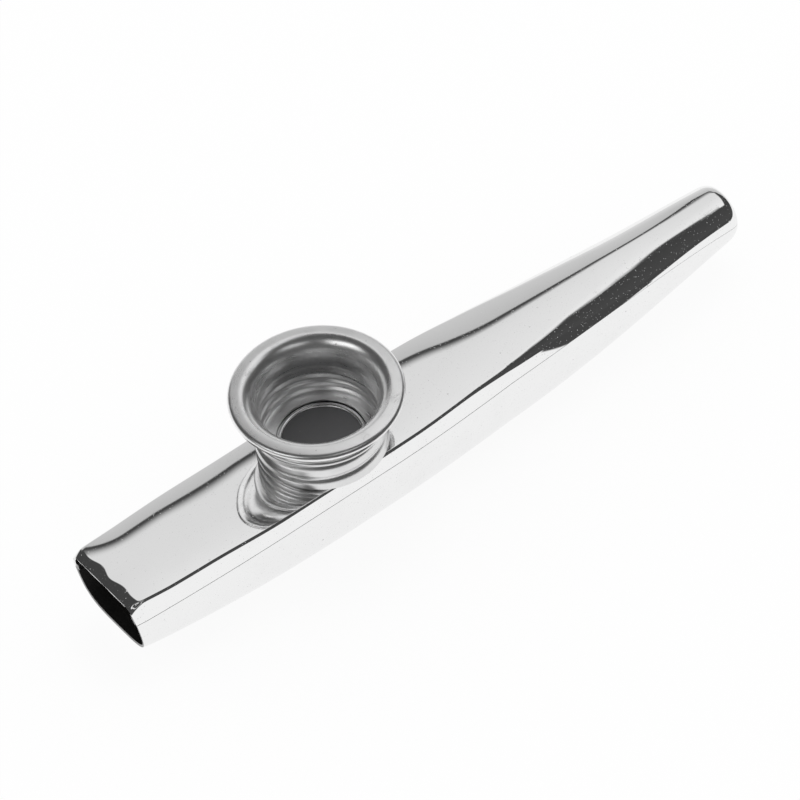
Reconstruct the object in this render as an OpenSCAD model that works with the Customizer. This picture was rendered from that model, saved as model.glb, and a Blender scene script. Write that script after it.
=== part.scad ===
/* [Tube] */
// Length of the tube from the mouth to the tail
body_length = 120; // [105:1:140]
// Width of the tube where it is widest
body_width = 17.6; // [15:0.1:19]
// Height of the flat top above the plane that the belly rests on
body_height = 16; // [14.6:0.1:18]
// Width of the mouth
mouth_width = 15.7; // [12:0.1:17]
// Height of the belly above the rest plane at the mouth
mouth_floor = 3.7; // [1:0.1:6]
// Height of the seam's level run above the rest plane
seam_level = 12.5; // [11:0.1:13.2]
// How far the mouth's lower lip is set back from its upper lip
mouth_setback = 1.9; // [0:0.1:3]
// Outer diameter of the tail
tail_diameter = 8.7; // [8:0.1:10]
// Height of the tail's centre above the rest plane
tail_height = 10.8; // [9:0.1:11]
// Radius of the rolled edge at the tail
tail_roll = 0.9; // [0.6:0.1:1.2]
// Thickness of the pressed sheet of both halves
sheet = 0.45; // [0.3:0.05:0.6]
// Height of the lower half's lap inside the upper half
lap_height = 1.2; // [0.8:0.1:1.8]

/* [Sound hole and neck] */
// Distance of the turret's axis from the mouth
turret_station = 41.7; // [38:0.1:50]
// Diameter of the hole in the flat top
sound_hole_diameter = 10; // [8:0.1:11]
// Thickness of the neck's sheet
neck_sheet = 0.35; // [0.25:0.05:0.45]
// Height of the neck from its floor's underside to its rim
neck_height = 7.4; // [6.8:0.1:8]
// Radius of the bead round the neck's rim
neck_bead = 0.42; // [0.3:0.02:0.5]
// Length of the eyelet below the flat top's sheet
eyelet_drop = 0.9; // [0.7:0.1:1.5]

/* [Turret] */
// Outer diameter of the flared rim
flange_diameter = 26.8; // [25:0.1:30]
// Height of the turret from its lip's upper face to its rim
turret_depth = 10.2; // [9.6:0.1:12]
// Inner diameter of the turret's plain wall
turret_bore = 18; // [17.2:0.1:18.4]
// Inner diameter of the lip at the turret's foot
lip_diameter = 13.9; // [13:0.1:15]
// Thickness of the turret's sheet
turret_sheet = 0.35; // [0.25:0.05:0.45]
// Radius of the roll round the flared rim
rim_roll = 0.52; // [0.4:0.02:0.9]
// Height of the flare below the top of the rim
flare_height = 4.2; // [3:0.1:4.4]

/* [Screw thread] */
// Rise of the rolled thread in one turn
thread_pitch = 3; // [2:0.5:4]
// Height of the rolled thread's ridge
thread_rise = 0.35; // [0.2:0.05:0.4]
// Radial clearance between the two threads
thread_gap = 0.16; // [0.12:0.01:0.2]

/* [Film] */
// Diameter of the film and of its ring
film_diameter = 17.8; // [17:0.1:18]
// Thickness of the film
film_thickness = 0.08; // [0.05:0.01:0.1]
// Height of the film's ring
ring_height = 0.37; // [0.3:0.01:0.5]
// Inner diameter of the film's ring
ring_bore = 12.1; // [11.5:0.1:12.8]
// Thickness of the washer under the film
washer_thickness = 0.15; // [0.1:0.01:0.2]
// Inner diameter of the washer
washer_bore = 12; // [11:0.1:13]

/* [Hidden] */

// Running and seating clearances
lap_gap = 0.08;
eyelet_gap = 0.05;
washer_side_gap = 0.25;
lip_gap = 0.02;

// How far one solid reaches into another that it is joined to or cuts
overrun = 0.2;
// How far the thread band's flat facets lie inside the plain walls that they join
band_inset = 0.02;

// Where the tube's curves start and end, as shares of its length
swell_share = 0.25;
taper_share = 0.4;
level_share = 0.54;
rest_start_share = 1 / 3;
rest_end_share = 0.6;
rake_share = 0.25;

// How square the section's corners are: 2 is an ellipse
tail_squareness = 2;
mouth_top_squareness = 8;
mouth_belly_squareness = 3.6;
squareness_fade = 1.5;
mouth_rise_power = 1.7;
tail_rise_power = 1.9;

// Counts of the facets
station_count = 30;
roll_steps = 4;
section_steps = 15;
thread_sides = 48;
rows_per_turn = 10;
arc_steps = 10;
round_sides = 96;

tail_radius = tail_diameter / 2;
turret_x = turret_station - body_length / 2;
neck_floor_top = body_height + neck_sheet;
washer_top = neck_floor_top + washer_thickness;
film_top = washer_top + film_thickness;
ring_top = film_top + ring_height;
lip_under = ring_top + lip_gap;
lip_top = lip_under + turret_sheet;
rim_top = lip_top + turret_depth;
neck_top = body_height + neck_height;

turret_inner = turret_bore / 2;
turret_outer = turret_inner + turret_sheet;
neck_inner = turret_outer + thread_rise + thread_gap;
neck_outer = neck_inner + neck_sheet;
eyelet_outer = sound_hole_diameter / 2 - eyelet_gap;
eyelet_foot = body_height - sheet - eyelet_drop;

// The thread bands, each between two plain walls
thread_fade = thread_pitch / 4;
turret_band_start = lip_top + 2 * turret_sheet;
turret_band_end = rim_top - flare_height - overrun;
neck_band_start = neck_floor_top + 2 * neck_sheet;
neck_band_end = neck_top - 2 * neck_bead;

function mix(from, to, share) = from + (to - from) * share;
function part_of(share, from, to) = min(1, max(0, (share - from) / (to - from)));
function ease(share) = share * share * (3 - 2 * share);
function powered(value, squareness) = sign(value) * pow(abs(value), 2 / squareness);

// The tube's size at a share of its length from the mouth
function half_width(share) =
    (mouth_width
    + (body_width - mouth_width) * (1 - pow(1 - part_of(share, 0, swell_share), 2))
    - (body_width - tail_diameter) * ease(part_of(share, taper_share, 1))) / 2;
function crown_height(share) =
    mix(body_height, tail_height + tail_radius, ease(part_of(share, level_share, 1)));
function seam_height(share) = mix(seam_level, tail_height, pow(part_of(share, rest_end_share, 1), tail_rise_power));
function belly_height(share) =
    mouth_floor * pow(1 - part_of(share, 0, rest_start_share), mouth_rise_power)
    + (tail_height - tail_radius) * pow(part_of(share, rest_end_share, 1), tail_rise_power);
function top_squareness(share) =
    mix(tail_squareness, mouth_top_squareness, pow(1 - share, squareness_fade));
function belly_squareness(share) = mix(tail_squareness, mouth_belly_squareness, 1 - share);

// Each station is a distance from the mouth and the amount by which the rolled edge draws it in
stations = concat(
    [for (i = [0 : station_count - 1]) [(body_length - tail_roll) * i / (station_count - 1), 0]],
    [for (i = [1 : roll_steps]) let (angle = 90 * i / roll_steps)
        [body_length - tail_roll * (1 - sin(angle)), tail_roll * (1 - cos(angle))]]);

// The last angle sampled before the middle of each half leaves a flat strip along the crown and the belly
strip_angle = 90 - 90 / section_steps;

// The mouth's plane leans: the lower a point is, the further it lies from the mouth
function place(distance, across, height) =
    let (share = distance / body_length)
    let (depth = (crown_height(share) - height) / (crown_height(share) - belly_height(share)))
    let (setback = mouth_setback * depth * (1 - part_of(share, 0, rake_share)))
    [distance + setback - body_length / 2, across, height];

// A point of the upper half's section, inset from its outer skin
function upper_point(station, angle, inset) =
    let (share = station[0] / body_length)
    let (squareness = top_squareness(share))
    let (reach = half_width(share) - station[1] - inset)
    let (rise = crown_height(share) - seam_height(share) - station[1] - inset)
    let (height = rise * powered(sin(angle), squareness) / powered(sin(strip_angle), squareness))
    place(station[0], reach * powered(cos(angle), squareness), seam_height(share) + min(rise, height));

// A point of the lower half's section, inset from its outer skin
function lower_point(station, angle, inset) =
    let (share = station[0] / body_length)
    let (squareness = belly_squareness(share))
    let (reach = half_width(share) - station[1] - inset)
    let (drop = seam_height(share) - belly_height(share) - station[1] - inset)
    let (height = drop * powered(sin(angle), squareness) / powered(sin(strip_angle), squareness))
    place(station[0], reach * powered(cos(angle), squareness), seam_height(share) + height);

// A point of the lap, which follows the upper half's inner skin above the seam
function lap_point(station, side, rise_share, inset) =
    let (share = station[0] / body_length)
    let (squareness = top_squareness(share))
    let (reach = half_width(share) - station[1] - inset)
    let (rise = crown_height(share) - seam_height(share) - station[1] - inset)
    let (height = lap_height * rise_share)
    let (across = reach * pow(1 - pow(max(0, height) / rise, squareness), 1 / squareness))
    place(station[0], side * across, seam_height(share) + height);

// A section runs along its outer skin and back along its inner skin, with as many points on each
function turned_back(chain) = [for (i = [len(chain) - 1 : -1 : 0]) chain[i]];
function upper_chain(station, inset) =
    [for (i = [0 : section_steps]) upper_point(station, 180 * i / section_steps, inset)];
function upper_section(station) = concat(upper_chain(station, 0), turned_back(upper_chain(station, sheet)));

// Heights of the lap's points as shares of its height; its inner skin starts just below the seam
lap_outer_shares = [0, 0.5, 1];
lap_inner_shares = [-0.2, 0.5, 1];
lap_inset = sheet + lap_gap;
function lap_chain(station, side, shares, inset) =
    [for (rise_share = shares) lap_point(station, side, rise_share, inset)];
function lower_chain(station, angles, inset, lap_shares, inset_of_lap) = concat(
    turned_back(lap_chain(station, -1, lap_shares, inset_of_lap)),
    [for (angle = angles) lower_point(station, 180 + angle, inset)],
    lap_chain(station, 1, lap_shares, inset_of_lap));
step_angle = 180 / section_steps;
outer_angles = [for (i = [0 : section_steps]) step_angle * i];
inner_angles = concat([step_angle / 2], [for (i = [1 : section_steps - 1]) step_angle * i], [180 - step_angle / 2]);
function lower_section(station) = concat(
    lower_chain(station, outer_angles, 0, lap_outer_shares, lap_inset),
    turned_back(lower_chain(station, inner_angles, sheet, lap_inner_shares, lap_inset + sheet)));

// A closed solid through a list of sections, each end closed by a strip from skin to skin
module loft(sections) {
    count = len(sections[0]);
    last = len(sections) - 1;
    polyhedron(
        points = [for (section = sections) each section],
        faces = concat(
            [for (i = [0 : count / 2 - 2]) [i, i + 1, count - 2 - i, count - 1 - i]],
            [for (k = [0 : last - 1], i = [0 : count - 1]) let (j = (i + 1) % count)
                [k * count + i, (k + 1) * count + i, (k + 1) * count + j, k * count + j]],
            [for (i = [0 : count / 2 - 2])
                [last * count + count - 1 - i, last * count + count - 2 - i, last * count + i + 1, last * count + i]]),
        convexity = 6);
}

// The side of a sheet that follows a path, as its outline
function along(path, i) =
    let (before = path[max(0, i - 1)], after = path[min(len(path) - 1, i + 1)])
    (after - before) / norm(after - before);
function beside(path, i, distance) = path[i] + distance * [-along(path, i)[1], along(path, i)[0]];
function ribbon(path, thickness) = concat(
    [for (i = [0 : len(path) - 1]) beside(path, i, thickness / 2)],
    [for (i = [len(path) - 1 : -1 : 0]) beside(path, i, -thickness / 2)]);

module spun(outline) {
    rotate_extrude($fn = round_sides)
        polygon(outline);
}

// The rolled thread: its ridge climbs one pitch in each turn, on one shared helix
function ridge(height, angle) = (1 + cos(360 * height / thread_pitch - angle)) / 2;
function faded(height, start, end) = max(0, min(1, (height - start) / thread_fade, (end - height) / thread_fade));

// A sheet wall between two heights whose skins both follow the thread
module thread_band(inner, outer, start, end, groove) {
    rows = ceil(rows_per_turn * (end - start) / thread_pitch);
    low = start - overrun;
    high = end + overrun;
    heights = concat([low], [for (k = [0 : rows]) mix(start, end, k / rows)], [high]);
    last = len(heights) - 1;
    function swell(k, angle) = thread_rise * faded(heights[k], start, end) * (ridge(heights[k], angle) - groove);
    function skin(radius) = [for (k = [0 : last], j = [0 : thread_sides - 1])
        let (angle = 360 * j / thread_sides, reach = radius + swell(k, angle))
        [reach * cos(angle), reach * sin(angle), heights[k]]];
    function at(side, k, j) = (side * (last + 1) + k) * thread_sides + j % thread_sides;
    polyhedron(
        points = concat(skin(outer - band_inset), skin((inner + band_inset) / cos(180 / thread_sides))),
        faces = concat(
            [for (k = [0 : last - 1], j = [0 : thread_sides - 1])
                [at(0, k, j), at(0, k + 1, j), at(0, k + 1, j + 1), at(0, k, j + 1)]],
            [for (k = [0 : last - 1], j = [0 : thread_sides - 1])
                [at(1, k, j), at(1, k, j + 1), at(1, k + 1, j + 1), at(1, k + 1, j)]],
            [for (j = [0 : thread_sides - 1]) [at(0, 0, j), at(0, 0, j + 1), at(1, 0, j + 1), at(1, 0, j)]],
            [for (j = [0 : thread_sides - 1])
                [at(0, last, j), at(1, last, j), at(1, last, j + 1), at(0, last, j + 1)]]),
        convexity = 10);
}

// The pressed lower half, with the lap that goes up inside the upper half
module lower_shell() {
    color("silver")
        loft([for (station = stations) lower_section(station)]);
}

// The pressed upper half, with the sound hole in its flat top
module upper_shell() {
    color("lightgray")
        difference() {
            loft([for (station = stations) upper_section(station)]);
            translate([turret_x, 0, body_height - sheet - overrun])
                cylinder(d = sound_hole_diameter, h = sheet + 2 * overrun, $fn = round_sides);
        }
}

// The threaded cup, its floor held in the sound hole by an eyelet that is spread below the sheet
module neck() {
    wall_middle = neck_inner + neck_sheet / 2;
    floor_middle = body_height + neck_sheet / 2;
    eyelet_middle = eyelet_outer - neck_sheet / 2;
    spread = (body_height - sheet - eyelet_foot) / 2;
    // Tight enough to clear the edge of the sound hole
    eyelet_bend = neck_sheet / 2 + eyelet_gap;
    foot = concat(
        [for (i = [0 : arc_steps]) let (angle = 90 * i / arc_steps)
            [eyelet_middle + spread * (1 - sin(angle)), eyelet_foot + neck_sheet / 2 + spread * (1 - cos(angle))]],
        [for (i = [0 : arc_steps]) let (angle = 90 * i / arc_steps)
            [eyelet_middle + eyelet_bend * (1 - cos(angle)), floor_middle - eyelet_bend * (1 - sin(angle))]],
        [for (i = [0 : arc_steps]) let (angle = 90 * i / arc_steps)
            [wall_middle - neck_sheet * (1 - sin(angle)), floor_middle + neck_sheet * (1 - cos(angle))]],
        [[wall_middle, neck_band_start]]);
    rim = concat(
        [[wall_middle, neck_band_end]],
        [for (i = [0 : arc_steps]) let (angle = 180 - 300 * i / arc_steps)
            [wall_middle + neck_bead * (1 + cos(angle)), neck_top - neck_bead - neck_sheet / 2 + neck_bead * sin(angle)]]);
    color("darkgray")
        translate([turret_x, 0, 0]) {
            spun(ribbon(foot, neck_sheet));
            thread_band(neck_inner, neck_outer, neck_band_start, neck_band_end, 1);
            spun(ribbon(rim, neck_sheet));
        }
}

// The thin washer that the film is pressed against
module seat_washer() {
    color("tan")
        translate([turret_x, 0, neck_floor_top])
            difference() {
                cylinder(r = neck_inner - washer_side_gap, h = washer_thickness, $fn = round_sides);
                translate([0, 0, -overrun])
                    cylinder(d = washer_bore, h = washer_thickness + 2 * overrun, $fn = round_sides);
            }
}

// The round film that buzzes
module membrane() {
    color("dimgray")
        translate([turret_x, 0, washer_top])
            cylinder(d = film_diameter, h = film_thickness, $fn = round_sides);
}

// The pressed ring that the film is crimped to, rounded at its bore
module membrane_ring() {
    round_radius = ring_height;
    color("gainsboro")
        translate([turret_x, 0, film_top])
            spun(concat(
                [[film_diameter / 2, 0], [film_diameter / 2, ring_height]],
                [for (i = [0 : arc_steps]) let (angle = 90 + 90 * i / arc_steps)
                    [ring_bore / 2 + round_radius * (1 + cos(angle)), round_radius * sin(angle)]]));
}

// The flared cap: a lip at its foot, a threaded wall, a trumpet flare and a rolled rim
module turret() {
    wall_middle = turret_inner + turret_sheet / 2;
    lip_middle = lip_under + turret_sheet / 2;
    flare_reach = flange_diameter / 2 - turret_sheet / 2 - rim_roll - wall_middle;
    flare_start = rim_top - flare_height;
    flare_rise = flare_height - turret_sheet / 2;
    foot = concat(
        [[lip_diameter / 2, lip_middle]],
        [for (i = [0 : arc_steps]) let (angle = 90 * i / arc_steps)
            [wall_middle - turret_sheet * (1 - sin(angle)), lip_middle + turret_sheet * (1 - cos(angle))]],
        [[wall_middle, turret_band_start]]);
    flare = concat(
        [[wall_middle, turret_band_end]],
        [for (i = [0 : arc_steps]) let (angle = 90 * i / arc_steps)
            [wall_middle + flare_reach * (1 - cos(angle)), flare_start + flare_rise * sin(angle)]],
        [for (i = [1 : arc_steps]) let (angle = 90 - 210 * i / arc_steps)
            [wall_middle + flare_reach + rim_roll * cos(angle), flare_start + flare_rise - rim_roll * (1 - sin(angle))]]);
    color("gray")
        translate([turret_x, 0, 0]) {
            spun(ribbon(foot, turret_sheet));
            thread_band(turret_inner, turret_outer, turret_band_start, turret_band_end, 0);
            spun(ribbon(flare, turret_sheet));
        }
}

lower_shell();
upper_shell();
neck();
seat_washer();
membrane();
membrane_ring();
turret();
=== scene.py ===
import math

import bmesh
import bpy
from bpy.props import FloatProperty, FloatVectorProperty, IntProperty, PointerProperty
from mathutils import Matrix, Vector


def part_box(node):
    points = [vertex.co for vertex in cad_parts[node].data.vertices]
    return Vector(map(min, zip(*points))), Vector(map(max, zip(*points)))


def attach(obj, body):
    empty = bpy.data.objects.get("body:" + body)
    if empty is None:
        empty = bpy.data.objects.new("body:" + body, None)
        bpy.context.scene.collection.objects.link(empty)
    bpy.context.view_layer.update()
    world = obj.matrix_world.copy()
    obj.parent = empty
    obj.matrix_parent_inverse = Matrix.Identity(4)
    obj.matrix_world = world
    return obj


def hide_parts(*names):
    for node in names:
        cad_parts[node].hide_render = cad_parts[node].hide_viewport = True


bl_info = {
    "name": "Pressed metal kazoo",
    "version": (1, 0, 0),
    "blender": (4, 5, 0),
    "location": "View3D > Sidebar > Kazoo",
    "description": "Builds the finished surfaces of a pressed metal kazoo around its packed solids",
    "category": "Object",
}

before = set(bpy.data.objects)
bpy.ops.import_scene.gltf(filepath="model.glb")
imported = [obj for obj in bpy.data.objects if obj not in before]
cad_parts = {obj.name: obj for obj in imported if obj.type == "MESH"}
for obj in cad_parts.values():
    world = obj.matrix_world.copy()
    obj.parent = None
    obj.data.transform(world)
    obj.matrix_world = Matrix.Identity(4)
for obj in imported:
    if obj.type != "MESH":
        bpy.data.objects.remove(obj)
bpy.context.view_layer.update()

UPPER_LOW, UPPER_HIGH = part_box("upper_shell")
LOWER_LOW, LOWER_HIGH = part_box("lower_shell")
NECK_LOW, NECK_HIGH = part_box("neck")
WASHER_LOW, WASHER_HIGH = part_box("seat_washer")
FILM_LOW, FILM_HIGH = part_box("membrane")
RING_LOW, RING_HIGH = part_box("membrane_ring")
TURRET_LOW, TURRET_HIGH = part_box("turret")

MILLIMETRE = 0.001
DEGREE = math.pi / 180
TURRET_X = (TURRET_LOW.x + TURRET_HIGH.x) / 2

PAINTED_SHADE_SLOT, CUT_SLOT = 1, 2
MERGE_DISTANCE = 0.0001 * MILLIMETRE
SHARP_ANGLE = math.radians(50)
CUT_ANGLE = math.radians(60)
SOFT_POWER = 8
HOLE_CATCH = 1.3
BEND_STEPS, BEAD_STEPS, ROLL_STEPS = 8, 20, 24
FLARE_STEPS, RIM_STEPS, FILM_ROWS = 24, 8, 24
THREAD_ROWS = 20
THREAD_FADE = 1 / 4
THREAD_SHARPNESS = 3
THREAD_END_GAP = 0.2 * MILLIMETRE
DROOP_POWER = 1.3
SPECK_CORE, SPECK_SOFTNESS = 0.5, 0.01


def length(name, description, default, low=0.0):
    return FloatProperty(name=name, description=description, default=default, min=low,
                         subtype="DISTANCE", unit="LENGTH", precision=5)


def share(name, description, default):
    return FloatProperty(name=name, description=description, default=default, min=0, max=1,
                         subtype="FACTOR")


def rotation(name, description, degrees):
    return FloatProperty(name=name, description=description, default=math.radians(degrees),
                         subtype="ANGLE", unit="ROTATION")


def colour(name, description, default):
    return FloatVectorProperty(name=name, description=description, default=default, size=3,
                               min=0, max=1, subtype="COLOR")


class KazooTube(bpy.types.PropertyGroup):
    """Sizes of the pressed tube"""
    sheet: length("Sheet", "Thickness of both pressed halves", 0.45 * MILLIMETRE)
    mouth_width: length("Mouth width", "Width of the mouth", 15.9 * MILLIMETRE)
    top_rise: length("Top rise", "How much higher the top stands before and behind the neck's flat seat",
                     0.45 * MILLIMETRE)
    mouth_corner: length("Mouth corner", "Extra rounding of the upper corners at the mouth's rim",
                         1.3 * MILLIMETRE)
    mouth_floor: length("Mouth floor", "Height of the belly at the mouth", 3.7 * MILLIMETRE)
    mouth_setback: length("Mouth setback", "How far the lower lip lies behind the upper one",
                          1.9 * MILLIMETRE)
    tail_diameter: length("Tail diameter", "Outer diameter of the tail", 9.1 * MILLIMETRE)
    fullness: length("Fullness", "Extra half width in the middle of the taper", 0.6 * MILLIMETRE)
    tail_roll: length("Tail roll", "How far the tail's edge is rolled in", 1.05 * MILLIMETRE)
    lap_height: length("Lap height", "How far the lower half goes up inside the upper half",
                       1.2 * MILLIMETRE)
    lap_gap: length("Lap gap", "Gap between the lap and the upper half", 0.08 * MILLIMETRE)
    seam_gap: length("Seam gap", "Width of the open seam between the halves", 0.07 * MILLIMETRE)
    edge_round: length("Edge round", "Rounding of the cut edges of the sheet", 0.07 * MILLIMETRE)
    tail_run: length("Tail run", "Length of the rolled edge at the tail", 2.0 * MILLIMETRE)
    lip_dip: length("Lip dip", "How far the top is pressed down at the mouth's rim", 0.38 * MILLIMETRE)
    lip_draw: length("Lip draw", "How far the sides and the belly are drawn in at the mouth's rim",
                     0.1 * MILLIMETRE)
    lip_run: length("Lip run", "Length of the drawn-in rim", 1.75 * MILLIMETRE)
    lip_wave: share("Lip wave", "Unevenness of the drawn-in rim's length across the top", 0.24)
    corner: length("Corner", "Rounding of the upper half's corners, up to where the tube turns round",
                   0.53 * MILLIMETRE)
    dent: length("Dent", "Depth of the pinch in the near corner at the mouth", 0.22 * MILLIMETRE)
    sound_hole: length("Sound hole", "Diameter of the hole under the film", 10 * MILLIMETRE)
    along_count: IntProperty(name="Stations", description="Steps along the tube", default=230, min=20)
    across_count: IntProperty(name="Section steps", description="Steps across each half",
                              default=144, min=12)


class KazooTurret(bpy.types.PropertyGroup):
    """Sizes of the neck, the turret and the film under it"""
    sheet: length("Sheet", "Thickness of the turret's and the neck's sheet", 0.35 * MILLIMETRE)
    bore: length("Bore", "Inner diameter of the turret's plain wall", 18 * MILLIMETRE)
    lip_bore: length("Lip bore", "Inner diameter of the lip at the turret's foot", 13.9 * MILLIMETRE)
    rim_roll: length("Rim roll", "Radius of the roll round the flared rim", 0.52 * MILLIMETRE)
    flare_height: length("Flare height", "Height of the flare below the rim", 4.2 * MILLIMETRE)
    rim_droop: length("Rim droop", "How far the flare droops from its crest to its roll", 0.12 * MILLIMETRE)
    rim_run: length("Rim run", "Distance from the flare's crest to its roll", 1.2 * MILLIMETRE)
    neck_bead: length("Neck bead", "Radius of the bead round the neck's rim", 0.42 * MILLIMETRE)
    eyelet_gap: length("Eyelet gap", "Gap between the eyelet and the sound hole", 0.05 * MILLIMETRE)
    thread_pitch: length("Thread pitch", "Rise of the thread in one turn", 3 * MILLIMETRE)
    thread_rise: length("Thread rise", "Height of the thread's ridge", 0.35 * MILLIMETRE)
    thread_gap: length("Thread gap", "Radial gap between the two threads", 0.16 * MILLIMETRE)
    ring_bore: length("Ring bore", "Inner diameter of the film's ring", 12.1 * MILLIMETRE)
    ring_step: length("Ring step", "How far the ring lies lower under the lip than in front of it",
                      0.22 * MILLIMETRE)
    washer_bore: length("Washer bore", "Inner diameter of the washer", 12 * MILLIMETRE)
    round_count: IntProperty(name="Spin steps", description="Steps round the turret's axis",
                             default=192, min=24)


class KazooFinish(bpy.types.PropertyGroup):
    """Colours of the finishes"""
    chrome: colour("Chrome", "Polished plating of the tube", (0.90, 0.90, 0.90))
    # The inside colour is near-black: painted shade inside the tube and in the seam over the lap
    inside: colour("Inside", "Bare inside of the tube", (0.035, 0.034, 0.033))
    # Darker than the chrome-coloured upper edge: part bare sheared steel, part painted shade in the seam
    # between the halves
    cut: colour("Cut edge", "Bare sheared edge of the lower half", (0.3, 0.3, 0.3))
    neck: colour("Neck", "Plating of the threaded neck", (0.82, 0.82, 0.82))
    turret: colour("Turret", "Satin metal of the turret", (0.92, 0.92, 0.92))
    ring: colour("Ring", "Metal of the film's ring", (0.78, 0.78, 0.78))
    film: colour("Film", "The buzzing film", (0.075, 0.075, 0.077))
    washer: colour("Washer", "Fibre of the washer", (0.32, 0.22, 0.13))
    dust: colour("Dust", "Dust and fine specks", (0.5, 0.5, 0.5))


class KazooStudio(bpy.types.PropertyGroup):
    """Camera and light of the studio"""
    azimuth: rotation("Azimuth", "Direction that the camera stands in", -33.06)
    elevation: rotation("Elevation", "Height of the camera's direction", 48.24)
    roll: rotation("Roll", "Turn of the camera about its axis", -6.74)
    distance: length("Distance", "From the camera to its target", 0.90078)
    target_height: length("Target height", "Height of the camera's target above the floor",
                          26.92 * MILLIMETRE)
    shift_right: length("Shift right", "Target's place to the right of the frame's middle",
                        -1.84 * MILLIMETRE, low=-1.0)
    shift_up: length("Shift up", "Target's place above the frame's middle", -10.4 * MILLIMETRE, low=-1.0)
    focal_length: FloatProperty(name="Focal length", description="Lens, in millimetres", default=270, min=1)
    floor_reach: length("Floor reach", "Half the floor's side", 3.0)
    white_edge: length("White edge", "How far the white floor reaches before the object in its reflection",
                       0.05)


class Signal:
    """A shader socket on which Python's arithmetic adds Math nodes"""

    def __init__(self, tree, socket):
        self.tree = tree
        self.socket = socket

    def math(self, operation, *values):
        return self.tree.add("ShaderNodeMath", {"operation": operation}, dict(enumerate((self, *values))))

    def __add__(self, other):
        return self.math("ADD", other)

    __radd__ = __add__

    def __sub__(self, other):
        return self.math("SUBTRACT", other)

    def __rsub__(self, other):
        return self.tree.add("ShaderNodeMath", {"operation": "SUBTRACT"}, {0: other, 1: self})

    def __mul__(self, other):
        return self.math("MULTIPLY", other)

    __rmul__ = __mul__

    def __pow__(self, other):
        return self.math("POWER", other)

    def step(self, start, end):
        """0 below start and 1 above end, with a smooth rise between them"""
        return self.tree.add("ShaderNodeMapRange", {"interpolation_type": "SMOOTHSTEP", "clamp": True},
                             {0: self, 1: start, 2: end, 3: 0.0, 4: 1.0})

    def ramp(self, start, end, low, high):
        """low below start and high above end, with a straight rise between them"""
        return self.tree.add("ShaderNodeMapRange", {"clamp": True},
                             {0: self, 1: start, 2: end, 3: low, 4: high})


class ShaderTree:
    """Adds nodes to a material's or a world's tree"""

    def __init__(self, owner):
        owner.use_nodes = True
        self.tree = owner.node_tree
        self.tree.nodes.clear()

    def node(self, kind, settings=None, inputs=None):
        made = self.tree.nodes.new(kind)
        for name, value in (settings or {}).items():
            setattr(made, name, value)
        for key, value in (inputs or {}).items():
            if isinstance(value, Signal):
                self.tree.links.new(value.socket, made.inputs[key])
            else:
                made.inputs[key].default_value = value
        return made

    def add(self, kind, settings=None, inputs=None, output=0):
        return Signal(self, self.node(kind, settings, inputs).outputs[output])

    def split(self, vector):
        made = self.node("ShaderNodeSeparateXYZ", None, {0: vector})
        return [Signal(self, socket) for socket in made.outputs]

    def joined(self, x, y, z):
        return self.add("ShaderNodeCombineXYZ", None, {0: x, 1: y, 2: z})

    def mix(self, factor, first, second):
        return self.add("ShaderNodeMix", {"data_type": "RGBA"}, {0: factor, 6: first, 7: second}, 2)

    def place(self):
        return self.add("ShaderNodeTexCoord", None, None, "Object")

    def noise(self, vector, scale, detail=2.0, roughness=0.5, distortion=0.0):
        return self.add("ShaderNodeTexNoise", {"noise_dimensions": "3D"},
                        {"Vector": vector, "Scale": scale, "Detail": detail, "Roughness": roughness,
                         "Distortion": distortion})

    def cells(self, vector, scale):
        made = self.node("ShaderNodeTexVoronoi", None, {"Vector": vector, "Scale": scale})
        return Signal(self, made.outputs["Distance"]), Signal(self, made.outputs["Color"])

    def bump(self, height, distance, strength=1.0, normal=None):
        inputs = {"Height": height, "Distance": distance, "Strength": strength}
        if normal is not None:
            inputs["Normal"] = normal
        return self.add("ShaderNodeBump", None, inputs)

    def surface(self, shader, kind="ShaderNodeOutputMaterial"):
        self.node(kind, None, {"Surface": shader})

    def principled(self, inputs):
        self.surface(self.add("ShaderNodeBsdfPrincipled", None, inputs))


def tone(rgb, factor=1.0):
    """The colour, darker where the factor is below 1 and lighter where it is above"""
    return (*(value * factor for value in rgb), 1.0)


def new_material(name):
    material = bpy.data.materials.new(name)
    tree = ShaderTree(material)
    return material, tree, tree.place()


def about_turret(tree, place):
    """A place's X and Y from the turret's axis, its distance from that axis and its height"""
    x, y, height = tree.split(place)
    across = x - TURRET_X
    return across, y, (across * across + y * y) ** 0.5, height


def specks(tree, place, scale, size, shown_share):
    """Scattered round specks: 1 on a speck and 0 beside it"""
    distance, tint = tree.cells(place, scale)
    hidden_share = 1.0 - shown_share
    chosen = tree.split(tint)[0].step(hidden_share, hidden_share + SPECK_SOFTNESS)
    return (1.0 - distance.step(size * SPECK_CORE, size)) * chosen


def scratches(tree, place, across_scale, along_scale, width):
    """Short fine scratches in patches: 1 on a scratch and 0 beside it"""
    x, y, z = tree.split(place)
    stretched = tree.joined(x * along_scale, y * across_scale, z * across_scale)
    line = tree.noise(stretched, scale=1.0, detail=3.0, roughness=0.6, distortion=0.4)
    from_middle = (line - 0.5).math("ABSOLUTE")
    patches = tree.noise(place, scale=260.0).step(0.56, 0.64)
    return (1.0 - from_middle.step(0.0, width)) * patches


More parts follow.
